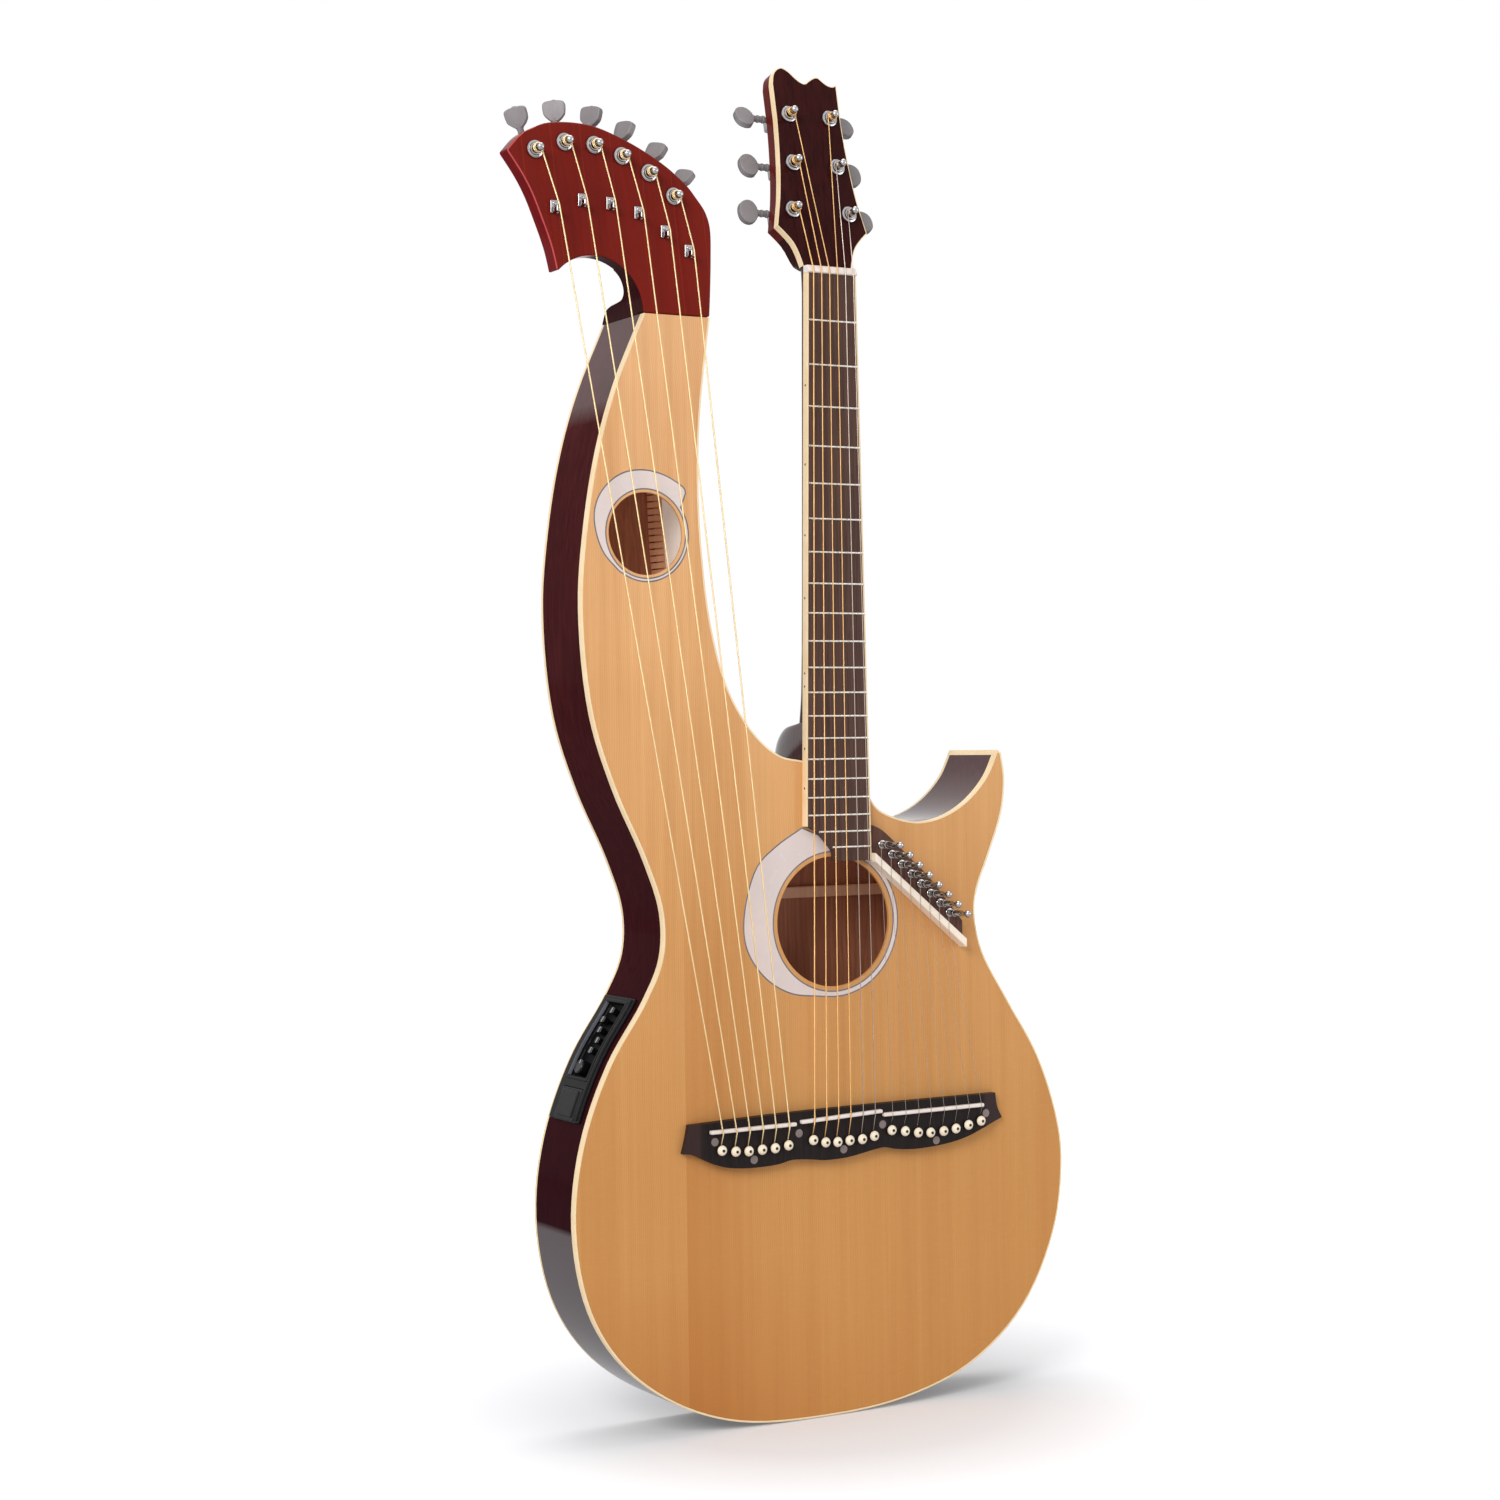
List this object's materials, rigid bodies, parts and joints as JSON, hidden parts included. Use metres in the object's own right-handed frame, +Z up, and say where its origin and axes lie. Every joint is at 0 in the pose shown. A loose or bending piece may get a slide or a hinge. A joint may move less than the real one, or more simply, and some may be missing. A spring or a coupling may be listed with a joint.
{
  "type": "harp guitar",
  "caption": "Acoustic harp guitar: hollow cutaway body with a hollow bass arm and its own headstock, fretted neck, treble zither strings, chrome machines and a side preamp.",
  "frame": {"origin": "the tail's end on the neck's centreline, halfway through the body's depth, where a stand's cradle carries it", "axes": "+Z up along the neck, -Y out of the soundboard, +X towards the treble side"},
  "size_m": [0.4837, 0.108, 1.0518],
  "materials": {
    "spruce_top": "honey-coloured spruce, fine upright grain, gloss lacquer",
    "dark_body_wood": "near-black red-brown hardwood, high gloss",
    "dark_neck_wood": "very dark red-brown hardwood, gloss",
    "cherry_head_wood": "cherry red hardwood with faint laminate lines, gloss",
    "rosewood": "dark oiled rosewood",
    "cream_binding": "cream edge binding",
    "white_bone": "white bone, lightly polished",
    "cream_bone": "cream bone, lightly polished",
    "pearl_inlay": "pinkish white pearl inlay",
    "ivory_pins": "ivory-coloured pins with black dots",
    "wound_bronze": "bronze-wound bass and neck strings; the thin ones are plain steel",
    "chrome_parts": "polished chrome",
    "preamp_plastic": "satin black plastic",
    "preamp_knobs": "glossy black plastic"
  },
  "bodies": {
    "body": {"strings": "wound_bronze", "soundboard": "spruce_top", "bass_head_hardware": "chrome_parts", "sides": "dark_body_wood", "neck_head_hardware": "chrome_parts", "bridge_pins": "ivory_pins", "top_binding": "cream_binding", "bridge": "rosewood", "neck": "dark_neck_wood", "bass_headstock": "cherry_head_wood", "back_plate": "dark_body_wood", "fingerboard": "rosewood", "preamp_housing": "preamp_plastic", "arm_rosette": "pearl_inlay", "soundhole_rosette": "pearl_inlay", "treble_pin_block": "rosewood", "nut": "white_bone", "bass_saddle": "white_bone", "neck_saddle": "white_bone", "treble_saddle": "white_bone", "treble_nut": "cream_bone"},
    "bass_tuner_button_1_body": {"bass_tuner_button_1": "chrome_parts"},
    "bass_tuner_post_1_body": {"bass_tuner_post_1": "chrome_parts"},
    "bass_tuner_button_2_body": {"bass_tuner_button_2": "chrome_parts"},
    "bass_tuner_post_2_body": {"bass_tuner_post_2": "chrome_parts"},
    "bass_tuner_button_3_body": {"bass_tuner_button_3": "chrome_parts"},
    "bass_tuner_post_3_body": {"bass_tuner_post_3": "chrome_parts"},
    "bass_tuner_button_4_body": {"bass_tuner_button_4": "chrome_parts"},
    "bass_tuner_post_4_body": {"bass_tuner_post_4": "chrome_parts"},
    "bass_tuner_button_5_body": {"bass_tuner_button_5": "chrome_parts"},
    "bass_tuner_post_5_body": {"bass_tuner_post_5": "chrome_parts"},
    "bass_tuner_button_6_body": {"bass_tuner_button_6": "chrome_parts"},
    "bass_tuner_post_6_body": {"bass_tuner_post_6": "chrome_parts"},
    "neck_tuner_button_1_body": {"neck_tuner_button_1": "chrome_parts"},
    "neck_tuner_post_1_body": {"neck_tuner_post_1": "chrome_parts"},
    "neck_tuner_button_2_body": {"neck_tuner_button_2": "chrome_parts"},
    "neck_tuner_post_2_body": {"neck_tuner_post_2": "chrome_parts"},
    "neck_tuner_button_3_body": {"neck_tuner_button_3": "chrome_parts"},
    "neck_tuner_post_3_body": {"neck_tuner_post_3": "chrome_parts"},
    "neck_tuner_button_4_body": {"neck_tuner_button_4": "chrome_parts"},
    "neck_tuner_post_4_body": {"neck_tuner_post_4": "chrome_parts"},
    "neck_tuner_button_5_body": {"neck_tuner_button_5": "chrome_parts"},
    "neck_tuner_post_5_body": {"neck_tuner_post_5": "chrome_parts"},
    "neck_tuner_button_6_body": {"neck_tuner_button_6": "chrome_parts"},
    "neck_tuner_post_6_body": {"neck_tuner_post_6": "chrome_parts"},
    "treble_tuning_pin_1_body": {"treble_tuning_pin_1": "chrome_parts"},
    "treble_tuning_pin_2_body": {"treble_tuning_pin_2": "chrome_parts"},
    "treble_tuning_pin_3_body": {"treble_tuning_pin_3": "chrome_parts"},
    "treble_tuning_pin_4_body": {"treble_tuning_pin_4": "chrome_parts"},
    "treble_tuning_pin_5_body": {"treble_tuning_pin_5": "chrome_parts"},
    "treble_tuning_pin_6_body": {"treble_tuning_pin_6": "chrome_parts"},
    "treble_tuning_pin_7_body": {"treble_tuning_pin_7": "chrome_parts"},
    "treble_tuning_pin_8_body": {"treble_tuning_pin_8": "chrome_parts"},
    "preamp_slider_1_body": {"preamp_slider_1": "preamp_knobs"},
    "preamp_slider_2_body": {"preamp_slider_2": "preamp_knobs"},
    "preamp_slider_3_body": {"preamp_slider_3": "preamp_knobs"},
    "preamp_slider_4_body": {"preamp_slider_4": "preamp_knobs"},
    "preamp_slider_5_body": {"preamp_slider_5": "preamp_knobs"},
    "preamp_volume_knob_body": {"preamp_volume_knob": "preamp_knobs"},
    "battery_door_body": {"battery_door": "preamp_plastic"}
  },
  "joints": [
    {"name": "bass_tuner_button_1_turn", "type": "hinge", "parent": "body", "child": "bass_tuner_button_1_body", "pos_m": [-0.24511, -0.01395, 0.96095], "axis": [-0.309, 0, 0.9511], "continuous": true},
    {"name": "bass_tuner_post_1_turn", "type": "hinge", "parent": "body", "child": "bass_tuner_post_1_body", "pos_m": [-0.2493, -0.035, 0.95959], "axis": [0, 1, 0], "continuous": true},
    {"name": "bass_tuner_button_2_turn", "type": "hinge", "parent": "body", "child": "bass_tuner_button_2_body", "pos_m": [-0.22101, -0.01395, 0.96741], "axis": [-0.0698, 0, 0.9976], "continuous": true},
    {"name": "bass_tuner_post_2_turn", "type": "hinge", "parent": "body", "child": "bass_tuner_post_2_body", "pos_m": [-0.2254, -0.035, 0.9671], "axis": [0, 1, 0], "continuous": true},
    {"name": "bass_tuner_button_3_turn", "type": "hinge", "parent": "body", "child": "bass_tuner_button_3_body", "pos_m": [-0.19676, -0.01395, 0.96641], "axis": [0.1564, 0, 0.9877], "continuous": true},
    {"name": "bass_tuner_post_3_turn", "type": "hinge", "parent": "body", "child": "bass_tuner_post_3_body", "pos_m": [-0.2011, -0.035, 0.9671], "axis": [0, 1, 0], "continuous": true},
    {"name": "bass_tuner_button_4_turn", "type": "hinge", "parent": "body", "child": "bass_tuner_button_4_body", "pos_m": [-0.17417, -0.01395, 0.9595], "axis": [0.342, 0, 0.9397], "continuous": true},
    {"name": "bass_tuner_post_4_turn", "type": "hinge", "parent": "body", "child": "bass_tuner_post_4_body", "pos_m": [-0.1783, -0.035, 0.961], "axis": [0, 1, 0], "continuous": true},
    {"name": "bass_tuner_button_5_turn", "type": "hinge", "parent": "body", "child": "bass_tuner_button_5_body", "pos_m": [-0.1519, -0.01395, 0.9482], "axis": [0.5, 0, 0.866], "continuous": true},
    {"name": "bass_tuner_post_5_turn", "type": "hinge", "parent": "body", "child": "bass_tuner_post_5_body", "pos_m": [-0.15571, -0.035, 0.9504], "axis": [0, 1, 0], "continuous": true},
    {"name": "bass_tuner_button_6_turn", "type": "hinge", "parent": "body", "child": "bass_tuner_button_6_body", "pos_m": [-0.13149, -0.01395, 0.93205], "axis": [0.6018, 0, 0.7986], "continuous": true},
    {"name": "bass_tuner_post_6_turn", "type": "hinge", "parent": "body", "child": "bass_tuner_post_6_body", "pos_m": [-0.135, -0.035, 0.9347], "axis": [0, 1, 0], "continuous": true},
    {"name": "neck_tuner_button_1_turn", "type": "hinge", "parent": "body", "child": "neck_tuner_button_1_body", "pos_m": [-0.0185, 0.01349, 1.01295], "axis": [-1, 0, 0], "continuous": true},
    {"name": "neck_tuner_post_1_turn", "type": "hinge", "parent": "body", "child": "neck_tuner_post_1_body", "pos_m": [-0.0185, -0.009, 1.01323], "axis": [0, 0.9781, -0.2079], "continuous": true},
    {"name": "neck_tuner_button_2_turn", "type": "hinge", "parent": "body", "child": "neck_tuner_button_2_body", "pos_m": [-0.02001, 0.00507, 0.97336], "axis": [-1, 0, 0], "continuous": true},
    {"name": "neck_tuner_post_2_turn", "type": "hinge", "parent": "body", "child": "neck_tuner_post_2_body", "pos_m": [-0.02001, -0.01741, 0.97364], "axis": [0, 0.9781, -0.2079], "continuous": true},
    {"name": "neck_tuner_button_3_turn", "type": "hinge", "parent": "body", "child": "neck_tuner_button_3_body", "pos_m": [-0.02542, -0.00303, 0.93522], "axis": [-1, 0, 0], "continuous": true},
    {"name": "neck_tuner_post_3_turn", "type": "hinge", "parent": "body", "child": "neck_tuner_post_3_body", "pos_m": [-0.02542, -0.02552, 0.9355], "axis": [0, 0.9781, -0.2079], "continuous": true},
    {"name": "neck_tuner_button_4_turn", "type": "hinge", "parent": "body", "child": "neck_tuner_button_4_body", "pos_m": [0.0185, 0.01349, 1.01295], "axis": [1, 0, 0], "continuous": true},
    {"name": "neck_tuner_post_4_turn", "type": "hinge", "parent": "body", "child": "neck_tuner_post_4_body", "pos_m": [0.0185, -0.009, 1.01323], "axis": [0, 0.9781, -0.2079], "continuous": true},
    {"name": "neck_tuner_button_5_turn", "type": "hinge", "parent": "body", "child": "neck_tuner_button_5_body", "pos_m": [0.02001, 0.00507, 0.97336], "axis": [1, 0, 0], "continuous": true},
    {"name": "neck_tuner_post_5_turn", "type": "hinge", "parent": "body", "child": "neck_tuner_post_5_body", "pos_m": [0.02001, -0.01741, 0.97364], "axis": [0, 0.9781, -0.2079], "continuous": true},
    {"name": "neck_tuner_button_6_turn", "type": "hinge", "parent": "body", "child": "neck_tuner_button_6_body", "pos_m": [0.02542, -0.00303, 0.93522], "axis": [1, 0, 0], "continuous": true},
    {"name": "neck_tuner_post_6_turn", "type": "hinge", "parent": "body", "child": "neck_tuner_post_6_body", "pos_m": [0.02542, -0.02552, 0.9355], "axis": [0, 0.9781, -0.2079], "continuous": true},
    {"name": "treble_tuning_pin_1_turn", "type": "hinge", "parent": "body", "child": "treble_tuning_pin_1_body", "pos_m": [0.0378, -0.043, 0.44194], "axis": [0, 1, 0], "continuous": true},
    {"name": "treble_tuning_pin_2_turn", "type": "hinge", "parent": "body", "child": "treble_tuning_pin_2_body", "pos_m": [0.04666, -0.043, 0.434], "axis": [0, 1, 0], "continuous": true},
    {"name": "treble_tuning_pin_3_turn", "type": "hinge", "parent": "body", "child": "treble_tuning_pin_3_body", "pos_m": [0.05552, -0.043, 0.42605], "axis": [0, 1, 0], "continuous": true},
    {"name": "treble_tuning_pin_4_turn", "type": "hinge", "parent": "body", "child": "treble_tuning_pin_4_body", "pos_m": [0.06438, -0.043, 0.4181], "axis": [0, 1, 0], "continuous": true},
    {"name": "treble_tuning_pin_5_turn", "type": "hinge", "parent": "body", "child": "treble_tuning_pin_5_body", "pos_m": [0.07325, -0.043, 0.41015], "axis": [0, 1, 0], "continuous": true},
    {"name": "treble_tuning_pin_6_turn", "type": "hinge", "parent": "body", "child": "treble_tuning_pin_6_body", "pos_m": [0.08211, -0.043, 0.4022], "axis": [0, 1, 0], "continuous": true},
    {"name": "treble_tuning_pin_7_turn", "type": "hinge", "parent": "body", "child": "treble_tuning_pin_7_body", "pos_m": [0.09097, -0.043, 0.39426], "axis": [0, 1, 0], "continuous": true},
    {"name": "treble_tuning_pin_8_turn", "type": "hinge", "parent": "body", "child": "treble_tuning_pin_8_body", "pos_m": [0.09984, -0.043, 0.38631], "axis": [0, 1, 0], "continuous": true},
    {"name": "preamp_slider_1_travel", "type": "slide", "parent": "body", "child": "preamp_slider_1_body", "axis": [0, 1, 0], "range_m": [-0.0051, 0.0069]},
    {"name": "preamp_slider_2_travel", "type": "slide", "parent": "body", "child": "preamp_slider_2_body", "axis": [0, 1, 0], "range_m": [-0.0114, 0.0006]},
    {"name": "preamp_slider_3_travel", "type": "slide", "parent": "body", "child": "preamp_slider_3_body", "axis": [0, 1, 0], "range_m": [-0.0069, 0.0051]},
    {"name": "preamp_slider_4_travel", "type": "slide", "parent": "body", "child": "preamp_slider_4_body", "axis": [0, 1, 0], "range_m": [-0.0012, 0.0108]},
    {"name": "preamp_slider_5_travel", "type": "slide", "parent": "body", "child": "preamp_slider_5_body", "axis": [0, 1, 0], "range_m": [-0.003, 0.009]},
    {"name": "preamp_volume_knob_turn", "type": "hinge", "parent": "body", "child": "preamp_volume_knob_body", "pos_m": [-0.20009, 0.0025, 0.27847], "axis": [-0.8948, 0, 0.4465], "range_deg": [-140, 140]},
    {"name": "battery_door_hinge", "type": "hinge", "parent": "body", "child": "battery_door_body", "pos_m": [-0.21517, 0.0025, 0.24713], "axis": [0, -1, 0], "range_deg": [0, 90]}
  ],
  "couplings": [
    {"joint": "bass_tuner_post_1_turn", "follows": "bass_tuner_button_1_turn", "ratio": 0.071429},
    {"joint": "bass_tuner_post_2_turn", "follows": "bass_tuner_button_2_turn", "ratio": 0.071429},
    {"joint": "bass_tuner_post_3_turn", "follows": "bass_tuner_button_3_turn", "ratio": 0.071429},
    {"joint": "bass_tuner_post_4_turn", "follows": "bass_tuner_button_4_turn", "ratio": 0.071429},
    {"joint": "bass_tuner_post_5_turn", "follows": "bass_tuner_button_5_turn", "ratio": 0.071429},
    {"joint": "bass_tuner_post_6_turn", "follows": "bass_tuner_button_6_turn", "ratio": 0.071429},
    {"joint": "neck_tuner_post_1_turn", "follows": "neck_tuner_button_1_turn", "ratio": 0.071429},
    {"joint": "neck_tuner_post_2_turn", "follows": "neck_tuner_button_2_turn", "ratio": 0.071429},
    {"joint": "neck_tuner_post_3_turn", "follows": "neck_tuner_button_3_turn", "ratio": 0.071429},
    {"joint": "neck_tuner_post_4_turn", "follows": "neck_tuner_button_4_turn", "ratio": 0.071429},
    {"joint": "neck_tuner_post_5_turn", "follows": "neck_tuner_button_5_turn", "ratio": 0.071429},
    {"joint": "neck_tuner_post_6_turn", "follows": "neck_tuner_button_6_turn", "ratio": 0.071429}
  ]
}
